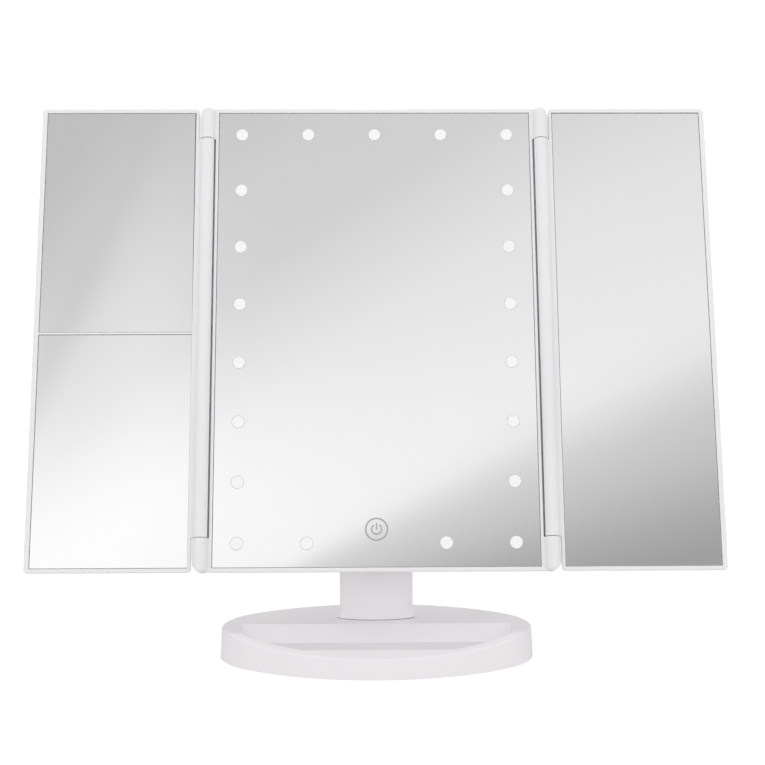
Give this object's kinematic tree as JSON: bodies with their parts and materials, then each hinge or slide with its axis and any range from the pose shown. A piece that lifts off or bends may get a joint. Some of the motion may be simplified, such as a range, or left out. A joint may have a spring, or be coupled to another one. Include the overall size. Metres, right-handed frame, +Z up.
{
  "type": "trifold vanity mirror",
  "caption": "Tabletop three-panel vanity mirror: a lit middle pane with a touch key, two wings that fold over it, tilting on a short neck over an oval tray base.",
  "frame": {"origin": "on the floor, at the centre of the oval base's underside", "axes": "+X to the user's right along the opened mirror, +Y away from the user, +Z up; the glass faces -Y"},
  "size_m": [0.344, 0.1163, 0.2772],
  "materials": {
    "white_plastic": "satin white moulded plastic",
    "mirror_glass": "silvered glass",
    "frosted_window": "frosted translucent white",
    "print_gray": "thin grey print",
    "sensor_foam": "conductive foam",
    "tape": "double-sided foam tape",
    "steel": "zinc plated steel",
    "circuit_board": "white solder mask",
    "led_package": "white package with yellow phosphor",
    "battery_can": "plain dark wrapper",
    "contact_metal": "nickel plated",
    "chip_black": "moulded black",
    "washer_nylon": "natural nylon",
    "pad_rubber": "soft foam rubber"
  },
  "bodies": {
    "stand": {"non_slip_pad": "pad_rubber", "base_shell": "white_plastic", "base_bottom_cover": "white_plastic", "base_screws": "steel", "ballast_plate": "steel", "neck": "white_plastic", "neck_screws": "steel"},
    "head": {"center_frame": "white_plastic", "center_mirror": "mirror_glass", "center_mirror_tape": "tape", "led_windows": "frosted_window", "touch_mark": "print_gray", "touch_sensor": "sensor_foam", "led_board": "circuit_board", "led_chips": "led_package", "led_board_screws": "steel", "rear_shell": "white_plastic", "rear_shell_screws": "steel", "battery_cells": "battery_can", "battery_contacts": "contact_metal", "control_board": "circuit_board", "control_chip": "chip_black", "control_board_screws": "steel", "switch_body": "contact_metal", "charging_inlet": "contact_metal", "hinge_pins": "steel", "tilt_bolt": "steel", "tilt_nut": "steel", "pivot_washers": "washer_nylon", "ear_caps": "white_plastic"},
    "right_wing": {"right_wing_frame": "white_plastic", "right_wing_back": "white_plastic", "right_mirror": "mirror_glass", "right_mirror_tape": "tape"},
    "left_wing": {"left_wing_frame": "white_plastic", "left_wing_back": "white_plastic", "left_upper_mirror": "mirror_glass", "left_lower_mirror": "mirror_glass", "left_mirror_tape": "tape"},
    "battery_door": {"battery_door": "white_plastic"},
    "power_switch": {"power_switch_knob": "white_plastic"}
  },
  "joints": [
    {"name": "head_tilt", "type": "hinge", "parent": "stand", "child": "head", "pos_m": [0, 0.0155, 0.0629], "axis": [-1, 0, 0], "range_deg": [-20, 60]},
    {"name": "right_wing_fold", "type": "hinge", "parent": "head", "child": "right_wing", "pos_m": [0.0864, 0.01581, 0.16053], "axis": [0, -0.2622, -0.965], "range_deg": [0, 180]},
    {"name": "left_wing_fold", "type": "hinge", "parent": "head", "child": "left_wing", "pos_m": [-0.0864, 0.01581, 0.16053], "axis": [0, 0.2622, 0.965], "range_deg": [0, 180]},
    {"name": "battery_door_slide", "type": "slide", "parent": "head", "child": "battery_door", "axis": [0, -0.2622, -0.965], "range_m": [0, 0.008]},
    {"name": "power_switch_slide", "type": "slide", "parent": "head", "child": "power_switch", "axis": [1, 0, 0], "range_m": [0, 0.003]}
  ]
}
